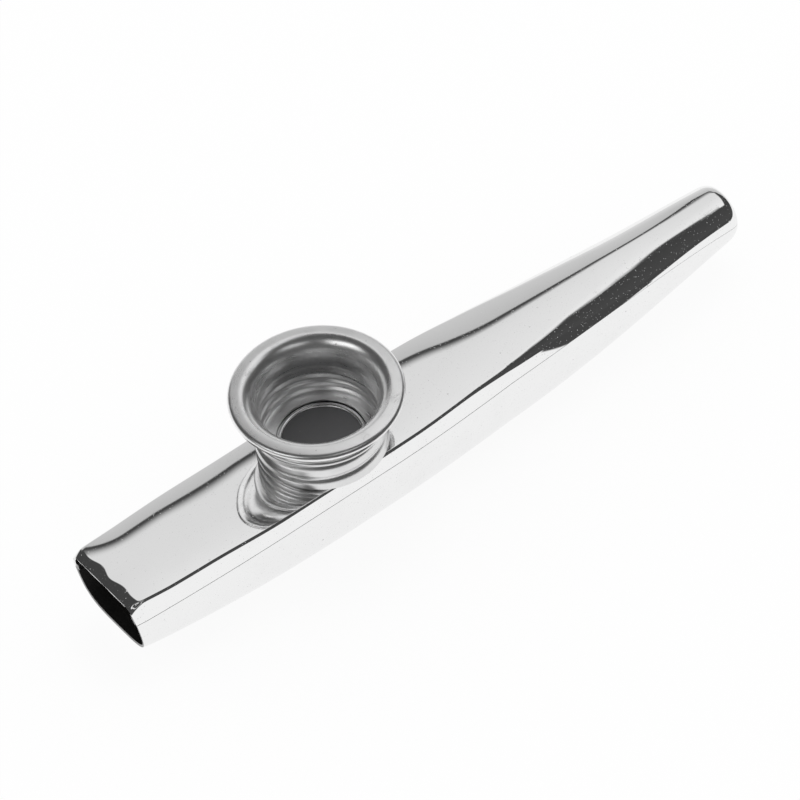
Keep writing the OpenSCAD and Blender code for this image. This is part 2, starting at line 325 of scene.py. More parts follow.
def chrome_material(name, rgb, dust_rgb, roughness, wave, dust_share):
    """Polished plating with the faint waves of pressed sheet, smudges, dust and hairline scratches"""
    smudge_tint, smudge_haze = 0.5, 0.012
    dust_cover, dust_dulling, dust_haze = 0.75, 0.9, 0.4
    hairline_depth, hairline_haze = 0.1, 0.015
    peel_share = 0.045
    material, tree, place = new_material(name)
    smudge = tree.noise(place, scale=190.0, detail=4.0, roughness=0.6, distortion=0.3).step(0.45, 0.75)
    settled = tree.split(place)[0].ramp(UPPER_LOW.x, UPPER_HIGH.x, 0.25, 1.0)
    powder = specks(tree, place, scale=3000.0, size=0.18, shown_share=0.5) * settled
    fine_dust = specks(tree, place, scale=1900.0, size=0.16, shown_share=dust_share)
    coarse_dust = specks(tree, place, scale=620.0, size=0.11, shown_share=dust_share * 0.6)
    dust = (powder + fine_dust + coarse_dust).math("MINIMUM", 1.0)
    hairlines = scratches(tree, place, across_scale=5200.0, along_scale=420.0, width=0.012)
    pressed = tree.noise(place, scale=95.0, detail=1.0, roughness=0.4)
    rolled = tree.noise(place, scale=420.0)
    waves = tree.bump(pressed, wave)
    peel = tree.bump(rolled, wave * peel_share, normal=waves)
    marked = tree.bump(dust - hairlines * hairline_depth, 0.006 * MILLIMETRE, strength=0.5, normal=peel)
    tint = tree.mix(smudge * smudge_tint, tone(rgb), tone(rgb, 0.97))
    tree.principled({
        "Base Color": tree.mix(dust * dust_cover, tint, tone(dust_rgb)),
        "Metallic": 1.0 - dust * dust_dulling,
        "Roughness": smudge * smudge_haze + dust * dust_haze + hairlines * hairline_haze + roughness,
        "Normal": marked,
    })
    return material


def painted_shade_inside_material(name, rgb):
    """Dull near-black inside of the pressed tube, a painted shade, with stains"""
    material, tree, place = new_material(name)
    stain = tree.noise(place, scale=260.0, detail=5.0, roughness=0.6)
    grain = tree.noise(place, scale=2400.0, detail=3.0, roughness=0.6)
    tree.principled({
        "Base Color": tree.mix(stain, tone(rgb, 0.6), tone(rgb, 1.5)),
        "Metallic": 0.6,
        "Roughness": stain * 0.2 + 0.55,
        "Normal": tree.bump(grain, 0.004 * MILLIMETRE),
    })
    return material


def turned_material(name, rgb, roughness, ring_scale, ring_depth, marks):
    """Metal turned or spun on a lathe: fine rings round the turret's axis, dents and scratches"""
    ring_haze, cloud_haze, wear_haze = 0.10, 0.06, 0.15
    middle_haze = 0.08
    wear_tint, line_share = 0.5, 4.0
    material, tree, place = new_material(name)
    _, _, radius, height = about_turret(tree, place)
    turned = tree.joined(radius * ring_scale, height * ring_scale, 0.0)
    rings = tree.noise(turned, scale=1.0, detail=3.0, roughness=0.65)
    cloud = tree.noise(place, scale=310.0, detail=3.0, roughness=0.55)
    dents = specks(tree, place, scale=900.0, size=0.13, shown_share=marks)
    lines = scratches(tree, place, across_scale=3400.0, along_scale=500.0, width=0.02)
    variation = (dents + lines * marks * line_share).math("MINIMUM", 1.0)
    ringed = tree.bump(rings, ring_depth)
    clouded = tree.bump(cloud, 0.003 * MILLIMETRE, normal=ringed)
    marked = tree.bump(variation, -0.02 * MILLIMETRE, strength=0.6, normal=clouded)
    tint = tree.mix(cloud.step(0.35, 0.7), tone(rgb, 0.96), tone(rgb, 1.03))
    tree.principled({
        "Base Color": tree.mix(variation * wear_tint, tint, tone(rgb, 0.4)),
        "Metallic": 1.0,
        "Roughness": rings * ring_haze + cloud * cloud_haze + variation * wear_haze + (roughness - middle_haze),
        "Normal": marked,
    })
    return material


def cut_material(name, rgb):
    """The sheared edge of a pressed half"""
    return turned_material(name, rgb, roughness=0.34, ring_scale=9000.0, ring_depth=0.002 * MILLIMETRE,
                           marks=0.2)


def film_material(name, rgb):
    """Thin dark film, stretched with faint wrinkles towards its ring, with painted light that makes its
    near side lighter
    """
    pleat_count, pleat_stretch = 7.0, 260.0
    material, tree, place = new_material(name)
    across, y, radius, _ = about_turret(tree, place)
    turn = y.math("ARCTAN2", across)
    pleats = tree.noise(tree.joined(turn * pleat_count, radius * pleat_stretch, 0.0), scale=1.0)
    edge = radius.step(3.0 * MILLIMETRE, 6.2 * MILLIMETRE)
    cloud = tree.noise(place, scale=420.0, detail=3.0)
    fleck = specks(tree, place, scale=1300.0, size=0.14, shown_share=0.14)
    # Painted light: the ramp makes the film lighter towards -Y, its near side, standing in for reflected
    # light; the cloud adds random tone
    variation = cloud * 0.3 + y.ramp(-6.0 * MILLIMETRE, 6.0 * MILLIMETRE, 0.7, 0.0)
    tint = tree.mix(variation, tone(rgb, 0.7), tone(rgb, 1.5))
    tree.principled({
        "Base Color": tree.mix(fleck * 0.5, tint, tone(rgb, 3.0)),
        "Roughness": cloud * 0.12 + 0.42,
        "Specular IOR Level": 0.4,
        "Normal": tree.bump(pleats * edge, 0.03 * MILLIMETRE, strength=0.6),
    })
    return material


def fibre_material(name, rgb):
    """Pressed brown fibre with short felted strands"""
    material, tree, place = new_material(name)
    felt = tree.noise(place, scale=2600.0, detail=5.0, roughness=0.7, distortion=1.2)
    patch = tree.noise(place, scale=380.0, detail=3.0)
    tree.principled({
        "Base Color": tree.mix(felt * 0.6 + patch * 0.4, tone(rgb, 0.7), tone(rgb, 1.3)),
        "Roughness": felt * 0.15 + 0.75,
        "Normal": tree.bump(felt, 0.03 * MILLIMETRE),
    })
    return material


def mix(start, end, part):
    return start + (end - start) * part


def part_of(value, start, end):
    return min(1.0, max(0.0, (value - start) / (end - start)))


def ease(part):
    return part * part * (3 - 2 * part)


def smaller(first, second):
    """The smaller of two lengths, with a smooth change from one to the other"""
    return (first ** -SOFT_POWER + second ** -SOFT_POWER) ** (-1 / SOFT_POWER)


def powered(value, squareness):
    """A circle's sine or cosine, turned into that of a rounded square"""
    return math.copysign(abs(value) ** (2 / squareness), value)


class TubeForm:
    """The tube's skin: a station along it and a part of the way across a half give a place"""

    swell_share = 0.25
    taper_share = 0.4
    level_share = 0.54
    rest_start_share = 1 / 3
    rest_end_share = 0.6
    seam_share = 0.62
    closed_part = 0.35
    closing_shares = (0.6, 0.8)
    rake_share = 0.25
    tail_squareness = 2.0
    lap_bulge = 0.2 * MILLIMETRE
    lap_start = -0.4
    lap_steps = 6
    station_power = 1.25
    roll_steps = 12
    belly_squareness = 3.6
    belly_fade = 0.4
    front_shares = (0.12, 0.24)
    rear_shares = (0.44, 0.56)
    end_shares = (0.8, 1.0)
    full_shares = (0.6, 1.0)
    round_shares = (0.51, 0.93)
    round_excess = 1.35
    crown_shares = (0.4, 0.64)
    lean_shares = (0.8, 1.0)
    slope_shares = (0.85, 1.0)
    side_lean = math.radians(12)
    lean_gain = math.radians(11.5)
    gain_shares = (0.6, 0.71)
    loss_shares = (0.78, 0.97)
    side_bulge = 0.0131
    bulge_shares = (0.5, 0.65)
    edge_slopes = (math.radians(13.5), math.radians(4))
    rim_slope_part = 0.3
    rim_shares = (0, 0.07)
    top_powers = (3.2, 1.65)
    top_part = 0.45
    corner_part = 0.8
    rise_share = 0.97
    rim_corner_reach = 1.5
    dip_power = 1.15
    pinch_distance = 1.5 * MILLIMETRE
    pinch_length = 0.6 * MILLIMETRE
    pinch_out = 0.66
    pinch_width = 0.09
    pinch_drop = 0.7
    dip_waves = 16.6
    dip_phase = 0.243
    dip_bulge = 1.5
    bulge_out = 0.5
    bulge_width = 0.13
    mouth_rise_power = 1.7
    tail_rise_power = 1.9
    seam_rise_power = 2.6

    def __init__(self, sizes):
        self.sizes = sizes
        self.length = UPPER_HIGH.x - UPPER_LOW.x
        self.width = LOWER_HIGH.y - LOWER_LOW.y
        self.crown = UPPER_HIGH.z
        self.tail_height = UPPER_LOW.z
        self.tail_radius = sizes.tail_diameter / 2
        self.seam_level = LOWER_HIGH.z - sizes.lap_height

    def half_width(self, share_along):
        swell = 1 - (1 - part_of(share_along, 0, self.swell_share)) ** 2
        taper = ease(part_of(share_along, self.taper_share, 1))
        sizes = self.sizes
        full = sizes.fullness * math.sin(math.pi * part_of(share_along, *self.full_shares))
        return full + (sizes.mouth_width + (self.width - sizes.mouth_width) * swell
                       - (self.width - sizes.tail_diameter) * taper) / 2

    def crown_height(self, share_along):
        fall = ease(part_of(share_along, self.level_share, 1))
        raised = (1 - ease(part_of(share_along, *self.front_shares))
                  + ease(part_of(share_along, *self.rear_shares))
                  - ease(part_of(share_along, *self.end_shares)))
        return mix(self.crown, self.tail_height + self.tail_radius, fall) + self.sizes.top_rise * raised

    def seam_height(self, share_along):
        fall = part_of(share_along, self.seam_share, 1) ** self.seam_rise_power
        return mix(self.seam_level, self.tail_height, fall)

    def seam_gap(self, share_along):
        return self.sizes.seam_gap * mix(1, self.closed_part, part_of(share_along, *self.closing_shares))

    def belly_height(self, share_along):
        at_mouth = (1 - part_of(share_along, 0, self.rest_start_share)) ** self.mouth_rise_power
        at_tail = part_of(share_along, self.rest_end_share, 1) ** self.tail_rise_power
        return self.sizes.mouth_floor * at_mouth + (self.tail_height - self.tail_radius) * at_tail

    def dip(self, distance, out=1.0):
        """1 at the mouth's rim and 0 where the drawn-in rim ends, whose length waves across the top"""
        wave = math.cos(self.dip_waves * (out + self.dip_phase)) * (1 - abs(out))
        wave += self.dip_bulge * math.exp(-((out + self.bulge_out) / self.bulge_width) ** 2)
        run = self.sizes.lip_run * (1 + self.sizes.lip_wave * wave)
        return max(0.0, 1 - distance / run) ** self.dip_power

    def stations(self):
        """Distances from the mouth, each with the amount by which the tail is drawn in"""
        sizes = self.sizes
        straight = self.length - sizes.tail_run
        found = []
        for i in range(sizes.along_count + 1):
            part = i / sizes.along_count
            found.append((straight * part ** self.station_power, 0.0))
        for i in range(1, self.roll_steps + 1):
            turn = math.pi / 2 * i / self.roll_steps
            found.append((straight + sizes.tail_run * math.sin(turn),
                          sizes.tail_roll * (1 - math.cos(turn))))
        return found

    def place(self, distance, across, height):
        """A place on the tube, the further back near the mouth the lower it lies"""
        share_along = distance / self.length
        crown = self.crown_height(share_along)
        depth = (crown - height) / (crown - self.belly_height(share_along))
        setback = self.sizes.mouth_setback * depth * (1 - part_of(share_along, 0, self.rake_share))
        return Vector((UPPER_LOW.x + distance + setback, across, height))

    def side_slope(self, share_along):
        """How far the upper half's sides lean in"""
        loss = ease(part_of(share_along, *self.loss_shares))
        gain = ease(part_of(share_along, *self.gain_shares)) * (1 - loss)
        return mix(self.side_lean, 0, ease(part_of(share_along, *self.lean_shares))) + self.lean_gain * gain

    def corner(self, distance):
        """The rounding of the upper corners: wide at the rim, tight on the box and full at the tail"""
        reach = self.rim_corner_reach * self.sizes.lip_run
        at_rim = self.sizes.mouth_corner * max(0.0, 1 - distance / reach) ** 2
        part = ease(part_of(distance / self.length, *self.round_shares))
        return at_rim + mix(self.sizes.corner, self.round_excess * self.tail_radius, part)

    def section(self, distance, reach, rise, out):
        """Half of the upper section, with a leaning side, a round corner and a top that droops to its edge:
        out runs from 0 at the crown to 1 at the seam"""
        share_along = distance / self.length
        slope = mix(*self.edge_slopes, ease(part_of(share_along, *self.slope_shares)))
        slope *= mix(self.rim_slope_part, 1, ease(part_of(share_along, *self.rim_shares)))
        power = mix(*self.top_powers, ease(part_of(share_along, *self.crown_shares)))
        lean = self.side_slope(share_along)
        droop_rate = math.tan(slope) / power
        scale = math.cos(lean) - droop_rate * math.sin(lean)
        sharp_edge = (reach * math.cos(lean) - rise * math.sin(lean)) / scale
        edge_loss = (1 - math.sin(slope + lean)) / scale
        fullest = ((self.rise_share * rise - droop_rate * sharp_edge)
                   / (math.cos(slope) - math.sin(lean) - droop_rate * edge_loss))
        corner = smaller(self.corner(distance), fullest)
        edge = sharp_edge - edge_loss * corner
        droop = edge * droop_rate
        middle = (edge - corner * math.sin(slope), rise - droop - corner * math.cos(slope))
        if out < self.top_part:
            part = out / self.top_part
            return edge * part, rise - droop * part ** power
        angle = mix(slope, math.pi / 2 - lean, part_of(out, self.top_part, self.corner_part))
        across, up = middle[0] + corner * math.sin(angle), middle[1] + corner * math.cos(angle)
        down = part_of(out, self.corner_part, 1)
        bulge = self.side_bulge * up * part_of(share_along, *self.bulge_shares) * 4 * down * (1 - down)
        return mix(across, reach, down) + bulge, mix(up, 0, down)

    def upper(self, station, part):
        """A place on the upper half: part runs from 0 at +Y over the crown to 1 at -Y"""
        distance, drawn = station
        share_along = distance / self.length
        out = 1 - 2 * part
        seam = self.seam_height(share_along) + self.seam_gap(share_along) / 2
        reach = self.half_width(share_along) - drawn - self.sizes.lip_draw * self.dip(distance)
        rise = self.crown_height(share_along) - seam - drawn - self.sizes.lip_dip * self.dip(distance, out)
        across, up = self.section(distance, reach, rise, abs(out))
        pinch = self.sizes.dent * math.exp(-((distance - self.pinch_distance) / self.pinch_length) ** 2
                                           - ((out + self.pinch_out) / self.pinch_width) ** 2)
        return self.place(distance, math.copysign(across - pinch, out), seam + up - pinch * self.pinch_drop)

    def lower(self, station, part):
        """A place on the lower half: part runs from 0 at -Y under the belly to 1 at +Y"""
        distance, drawn = station
        share_along = distance / self.length
        turn = math.pi * part
        drawn += self.sizes.lip_draw * self.dip(distance)
        squareness = mix(self.tail_squareness, self.belly_squareness, (1 - share_along) ** self.belly_fade)
        seam = self.seam_height(share_along) - self.seam_gap(share_along) / 2
        reach = self.half_width(share_along) - drawn
        drop = seam - self.belly_height(share_along) - drawn
        return self.place(distance, -reach * powered(math.cos(turn), squareness),
                          seam - drop * powered(math.sin(turn), squareness))

    def lap(self, station, side, rise_part):
        """A place on the lap's outer skin, from just below the seam to its top"""
        distance, drawn = station
        share_along = distance / self.length
        drawn += self.sizes.lip_draw * self.dip(distance) + self.sizes.sheet + self.sizes.lap_gap
        seam = self.seam_height(share_along)
        reach = self.half_width(share_along) - drawn
        height = self.sizes.lap_height * rise_part
        leaning = reach - max(0.0, height) * math.tan(self.side_slope(share_along))
        bulge = self.lap_bulge * part_of(share_along, *self.round_shares) * max(0.0, rise_part) ** 2
        return self.place(distance, side * (leaning - bulge), seam + height)


def sheet_grid(bm, stations, columns, place):
    """A grid of faces whose rows follow the stations and whose columns run from 0 to 1 across"""
    made = bmesh.ops.create_grid(bm, x_segments=len(stations) - 1, y_segments=columns, size=0.5)
    for vertex in made["verts"]:
        row = round((vertex.co.x + 0.5) * (len(stations) - 1))
        across = vertex.co.y + 0.5
        vertex.co = place(stations[row], across)


def finished(name, bm, materials, body, replaced):
    """The mesh as a piece of the kazoo, on its body and in its material slot"""
    mesh = bpy.data.meshes.new(name)
    bm.to_mesh(mesh)
    bm.free()
    for material in materials:
        mesh.materials.append(material)
    mesh.polygons.foreach_set("use_smooth", [True] * len(mesh.polygons))
    mesh.set_sharp_from_angle(angle=SHARP_ANGLE)
    piece = bpy.data.objects.new(name, mesh)
    bpy.context.scene.collection.objects.link(piece)
    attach(piece, body)
    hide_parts(replaced)
    return piece


def walled(piece, thickness, edge_round):
    """Gives an open skin its sheet thickness inwards, and its inside and rounded cut edges their slots"""
    wall = piece.modifiers.new("wall", "SOLIDIFY")
    wall.thickness = thickness
    wall.offset = -1
    wall.use_even_offset = True
    # The inner skin takes the near-black inside colour, a painted shade
    wall.material_offset = PAINTED_SHADE_SLOT
    wall.material_offset_rim = CUT_SLOT
    rounding = piece.modifiers.new("edges", "BEVEL")
    rounding.width = edge_round
    rounding.segments = 2
    rounding.limit_method = "ANGLE"
    rounding.angle_limit = CUT_ANGLE
    rounding.harden_normals = True


def outward(bm):
    """Turns the faces of a mesh outwards"""
    bmesh.ops.recalc_face_normals(bm, faces=bm.faces[:])


def spun(outline, steps, closed=True):
    """An outline of (radius, height) turned round the turret's axis; an open one gets a face at each end"""
    bm = bmesh.new()
    corners = [bm.verts.new((radius, 0, height)) for radius, height in outline]
    edges = [bm.edges.new((corners[i - 1], corners[i])) for i in range(0 if closed else 1, len(corners))]
    bmesh.ops.spin(bm, geom=corners + edges, cent=(0, 0, 0), axis=(0, 0, 1), dvec=(0, 0, 0),
                   angle=math.tau, steps=steps, use_merge=True, use_duplicate=False)
    bmesh.ops.remove_doubles(bm, verts=bm.verts[:], dist=MERGE_DISTANCE)
    if not closed:
        bmesh.ops.holes_fill(bm, edges=[edge for edge in bm.edges if edge.is_boundary], sides=0)
    outward(bm)
    return bm


def ribbon(path, thickness):
    """The outline of a sheet whose middle follows a path of (radius, height)"""
    near, far = [], []
    for i, (radius, height) in enumerate(path):
        before, after = path[max(0, i - 1)], path[min(len(path) - 1, i + 1)]
        along = Vector((after[0] - before[0], after[1] - before[1])).normalized()
        near.append((radius - along.y * thickness / 2, height + along.x * thickness / 2))
        far.append((radius + along.y * thickness / 2, height - along.x * thickness / 2))
    return near + far[::-1]


def arc(centre, radius, start, end, steps):
    """Places round a centre, with the angles in degrees"""
    turns = [math.radians(mix(start, end, i / steps)) for i in range(steps + 1)]
    return [(centre[0] + radius * math.cos(turn), centre[1] + radius * math.sin(turn)) for turn in turns]


def threaded(bm, sizes, start, end, low_radius, high_radius, groove):
    """Swells the wall between two heights along the thread's helix"""
    fade_run = sizes.thread_pitch * THREAD_FADE
    for vertex in bm.verts:
        radius = math.hypot(vertex.co.x, vertex.co.y)
        height = vertex.co.z
        fade = max(0.0, min(1.0, (height - start) / fade_run, (end - height) / fade_run))
        if fade > 0 and low_radius < radius < high_radius:
            turn = math.atan2(vertex.co.y, vertex.co.x)
            wave = math.cos(math.tau * height / sizes.thread_pitch - turn)
            ridge = 1 - ((1 - wave) / 2) ** THREAD_SHARPNESS
            swollen = radius + sizes.thread_rise * ease(fade) * (ridge - groove)
            vertex.co.x *= swollen / radius
            vertex.co.y *= swollen / radius


def on_turret_axis(bm):
    """Moves a mesh from the origin to the turret's axis"""
    bmesh.ops.translate(bm, verts=bm.verts[:], vec=(TURRET_X, 0, 0))


def wall_rows(radius, start, end, pitch):
    """Rows of a straight wall, close enough for the thread"""
    count = max(2, math.ceil((end - start) / pitch * THREAD_ROWS))
    return [(radius, mix(start, end, i / count)) for i in range(count + 1)]


class KAZOO_OT_upper_shell(bpy.types.Operator):
    """Builds the pressed upper half with its sound hole"""
    bl_idname = "kazoo.upper_shell"
    bl_label = "Upper shell"

    def execute(self, context):
        sizes, finish = context.scene.kazoo_tube, context.scene.kazoo_finish
        form = TubeForm(sizes)
        bm = bmesh.new()
        sheet_grid(bm, form.stations(), sizes.across_count, form.upper)
        hole = sizes.sound_hole / 2
        axis = Vector((TURRET_X, 0))
        inside = [face for face in bm.faces
                  if face.calc_center_median().z > form.seam_level
                  and (face.calc_center_median().xy - axis).length < hole]
        bmesh.ops.delete(bm, geom=inside, context="FACES")
        for vertex in bm.verts:
            offset = vertex.co.xy - axis
            if vertex.is_boundary and offset.length < hole * HOLE_CATCH:
                vertex.co.xy = axis + offset.normalized() * hole
        outward(bm)
        plating = chrome_material("upper_chrome", finish.chrome, finish.dust, roughness=0.045,
                                  wave=0.006 * MILLIMETRE, dust_share=0.30)
        cut = cut_material("plated_edge", finish.chrome)
        piece = finished("upper_half", bm, [plating, painted_shade_inside_material("upper_painted_shade_inside", finish.inside), cut],
                         "tube", "upper_shell")
        walled(piece, sizes.sheet, sizes.edge_round)
        return {"FINISHED"}


class KAZOO_OT_lower_shell(bpy.types.Operator):
    """Builds the pressed lower half with the lap inside the seam"""
    bl_idname = "kazoo.lower_shell"
    bl_label = "Lower shell"

    def execute(self, context):
        sizes, finish = context.scene.kazoo_tube, context.scene.kazoo_finish
        form = TubeForm(sizes)
        stations = form.stations()
        bm = bmesh.new()
        sheet_grid(bm, stations, sizes.across_count, form.lower)
        outward(bm)
        for side in (-1, 1):
            strip = bmesh.new()
            sheet_grid(strip, stations, form.lap_steps,
                       lambda station, part: form.lap(station, side, mix(form.lap_start, 1, part)))
            outward_strip(strip, side)
            # The lap's outer skin takes the near-black inside colour: painted shade in the seam between the
            # halves
            for face in strip.faces:
                face.material_index = PAINTED_SHADE_SLOT
            joined = bpy.data.meshes.new("lap")
            strip.to_mesh(joined)
            strip.free()
            bm.from_mesh(joined)
            bpy.data.meshes.remove(joined)
        plating = chrome_material("lower_chrome", finish.chrome, finish.dust, roughness=0.05,
                                  wave=0.008 * MILLIMETRE, dust_share=0.2)
        # The lower half's cut edge lines the seam and takes the darker cut colour: part bare sheared steel,
        # part painted shade
        cut = cut_material("cut_edge", finish.cut)
        piece = finished("lower_half", bm, [plating, painted_shade_inside_material("lower_painted_shade_inside", finish.inside), cut],
                         "tube", "lower_shell")
        walled(piece, sizes.sheet, sizes.edge_round)
        return {"FINISHED"}


def outward_strip(bm, side):
    """Turns a side strip's faces away from the tube's middle"""
    bm.normal_update()
    if sum(face.normal.y * side for face in bm.faces) < 0:
        bmesh.ops.reverse_faces(bm, faces=bm.faces[:])


class KAZOO_OT_neck(bpy.types.Operator):
    """Builds the threaded neck with its floor, eyelet and beaded rim"""
    bl_idname = "kazoo.neck"
    bl_label = "Neck"

    def execute(self, context):
        scene = context.scene
        tube, sizes, finish = scene.kazoo_tube, scene.kazoo_turret, scene.kazoo_finish
        sheet = sizes.sheet
        inner = sizes.bore / 2 + sheet + sizes.thread_rise + sizes.thread_gap
        wall = inner + sheet / 2
        base = UPPER_HIGH.z
        floor = base + sheet / 2
        eyelet = tube.sound_hole / 2 - sizes.eyelet_gap - sheet / 2
        bend = sheet / 2 + sizes.eyelet_gap
        spread = (base - tube.sheet - NECK_LOW.z) / 2
        band_start = base + 3 * sheet
        band_end = NECK_HIGH.z - 2 * sizes.neck_bead
        path = arc((eyelet + spread, NECK_LOW.z + sheet / 2 + spread), spread, 270, 180, BEND_STEPS)
        path += arc((eyelet + bend, floor - bend), bend, 180, 90, BEND_STEPS)
        path += arc((wall - sheet, floor + sheet), sheet, 270, 360, BEND_STEPS)
        path += wall_rows(wall, band_start, band_end, sizes.thread_pitch)
        bead_middle = (wall + sizes.neck_bead, NECK_HIGH.z - sizes.neck_bead - sheet / 2)
        path += arc(bead_middle, sizes.neck_bead, 180, -120, BEAD_STEPS)[1:]
        bm = spun(ribbon(path, sheet), sizes.round_count)
        threaded(bm, sizes, band_start, band_end, inner - sheet, inner + 2 * sheet, groove=1)
        on_turret_axis(bm)
        metal = turned_material("neck_metal", finish.neck, roughness=0.35, ring_scale=2600.0,
                                ring_depth=0.0002 * MILLIMETRE, marks=0.05)
        finished("threaded_neck", bm, [metal], "tube", "neck")
        return {"FINISHED"}


class KAZOO_OT_film(bpy.types.Operator):
    """Builds the film, its crimped ring and the washer under it"""
    bl_idname = "kazoo.film"
    bl_label = "Film, ring and washer"

    def execute(self, context):
        sizes, finish = context.scene.kazoo_turret, context.scene.kazoo_finish
        ring_radius = (RING_HIGH.x - RING_LOW.x) / 2
        ring_bore = sizes.ring_bore / 2
        ring_height = RING_HIGH.z - RING_LOW.z
        edge = ring_height / 5
        step = RING_HIGH.z - sizes.ring_step
        ridge = sizes.lip_bore / 2 - sizes.ring_step
        outline = arc((ring_radius - edge, step - edge), edge, 0, 90, 5)
        outline += [(ridge, step), (ridge - edge / 2, RING_HIGH.z)]
        outline += arc((ring_bore + ring_height, RING_LOW.z), ring_height, 90, 176, 14)
        outline += [(ring_bore + ring_height, RING_LOW.z), (ring_radius, RING_LOW.z)]
        bm = spun(outline, sizes.round_count)
        on_turret_axis(bm)
        metal = turned_material("ring_metal", finish.ring, roughness=0.22, ring_scale=7000.0,
                                ring_depth=0.001 * MILLIMETRE, marks=0.03)
        finished("film_ring", bm, [metal], "film", "membrane_ring")

        film_radius = (FILM_HIGH.x - FILM_LOW.x) / 2
        radii = [film_radius * i / FILM_ROWS for i in range(1, FILM_ROWS + 1)]
        outline = [(radius, FILM_LOW.z) for radius in radii]
        outline += [(radius, FILM_HIGH.z) for radius in radii[::-1]]
        bm = spun(outline, sizes.round_count, closed=False)
        on_turret_axis(bm)
        finished("buzzing_film", bm, [film_material("film", finish.film)], "film", "membrane")

        washer_radius = (WASHER_HIGH.x - WASHER_LOW.x) / 2
        washer_bore = sizes.washer_bore / 2
        edge = (WASHER_HIGH.z - WASHER_LOW.z) / 3
        outer, inner = washer_radius - edge, washer_bore + edge
        high, low = WASHER_HIGH.z - edge, WASHER_LOW.z + edge
        outline = []
        for i, corner in enumerate(((outer, high), (inner, high), (inner, low), (outer, low))):
            outline += arc(corner, edge, 90 * i, 90 * (i + 1), 4)
        bm = spun(outline, sizes.round_count)
        on_turret_axis(bm)
        finished("fibre_washer", bm, [fibre_material("washer_fibre", finish.washer)],
                 "tube", "seat_washer")
        return {"FINISHED"}


class KAZOO_OT_turret(bpy.types.Operator):
    """Builds the flared turret with its lip, thread and rolled rim"""
    bl_idname = "kazoo.turret"
    bl_label = "Turret"

    def execute(self, context):
        sizes, finish = context.scene.kazoo_turret, context.scene.kazoo_finish
        sheet = sizes.sheet
        inner = sizes.bore / 2
        wall = inner + sheet / 2
        lip = TURRET_LOW.z + sheet / 2
        rim = TURRET_HIGH.z
        flange = (TURRET_HIGH.x - TURRET_LOW.x) / 2
        flare_start = rim - sizes.flare_height
        flare_rise = sizes.flare_height - sheet / 2
        crest = flange - sheet / 2 - sizes.rim_roll - sizes.rim_run
        roll_height = rim - sheet / 2 - sizes.rim_droop - sizes.rim_roll
        band_start = TURRET_LOW.z + 3 * sheet
        band_end = flare_start - THREAD_END_GAP
        path = [(sizes.lip_bore / 2, lip), (sizes.lip_bore / 2 + sheet / 2, lip)]
        path += arc((wall - sheet, lip + sheet), sheet, 270, 360, BEND_STEPS)
        path += wall_rows(wall, band_start, band_end, sizes.thread_pitch)
        for i in range(FLARE_STEPS + 1):
            turn = math.pi / 2 * i / FLARE_STEPS
            path.append((wall + (crest - wall) * (1 - math.cos(turn)),
                         flare_start + flare_rise * math.sin(turn)))
        for i in range(1, RIM_STEPS + 1):
            droop = sizes.rim_droop * (i / RIM_STEPS) ** DROOP_POWER
            path.append((crest + sizes.rim_run * i / RIM_STEPS, rim - sheet / 2 - droop))
        path += arc((crest + sizes.rim_run, roll_height), sizes.rim_roll, 90, -120, ROLL_STEPS)[2:]
        bm = spun(ribbon(path, sheet), sizes.round_count)
        threaded(bm, sizes, band_start, band_end, inner - sheet, inner + 3 * sheet, groove=0)
        on_turret_axis(bm)
        metal = turned_material("turret_metal", finish.turret, roughness=0.29, ring_scale=2600.0,
                                ring_depth=0.0005 * MILLIMETRE, marks=0.09)
        finished("flared_turret", bm, [metal], "cap", "turret")
        return {"FINISHED"}


def floor_material(studio):
    """White paper that the metal sees only as far as a near edge, and as dark beyond it"""
    material, tree, place = new_material("studio_floor")
    y = tree.split(place)[1]
    path = tree.node("ShaderNodeLightPath")
    seen = Signal(tree, path.outputs["Is Camera Ray"])
    mirrored = Signal(tree, path.outputs["Is Glossy Ray"])
    edge_softness = 0.006
    beyond = 1.0 - y.step(-studio.white_edge - edge_softness, -studio.white_edge)
    grain = tree.noise(place, scale=900.0, detail=4.0)
    lit = tree.add("ShaderNodeBsdfDiffuse", None,
                   {"Color": (0.93, 0.93, 0.93, 1.0), "Normal": tree.bump(grain, 0.01 * MILLIMETRE)})
    card = tree.mix(beyond, (0.97, 0.97, 0.97, 1.0), (0.06, 0.06, 0.06, 1.0))
    reflected = tree.add("ShaderNodeEmission", None, {"Color": card, "Strength": 1.0})
    white = tree.add("ShaderNodeEmission", None, {"Color": (1.0, 1.0, 1.0, 1.0), "Strength": 1.0})
    paper = tree.add("ShaderNodeMixShader", None,
                     {0: mirrored * (beyond * 0.1 + 0.9), 1: lit, 2: reflected})
    tree.surface(tree.add("ShaderNodeMixShader", None, {0: seen * 0.9, 1: paper, 2: white}))
    return material


def window(angle, start, end, soft):
    """1 between two angles in degrees and 0 outside them, with soft edges"""
    return (angle.step((start - soft) * DEGREE, (start + soft) * DEGREE)
            * (1.0 - angle.step((end - soft) * DEGREE, (end + soft) * DEGREE)))


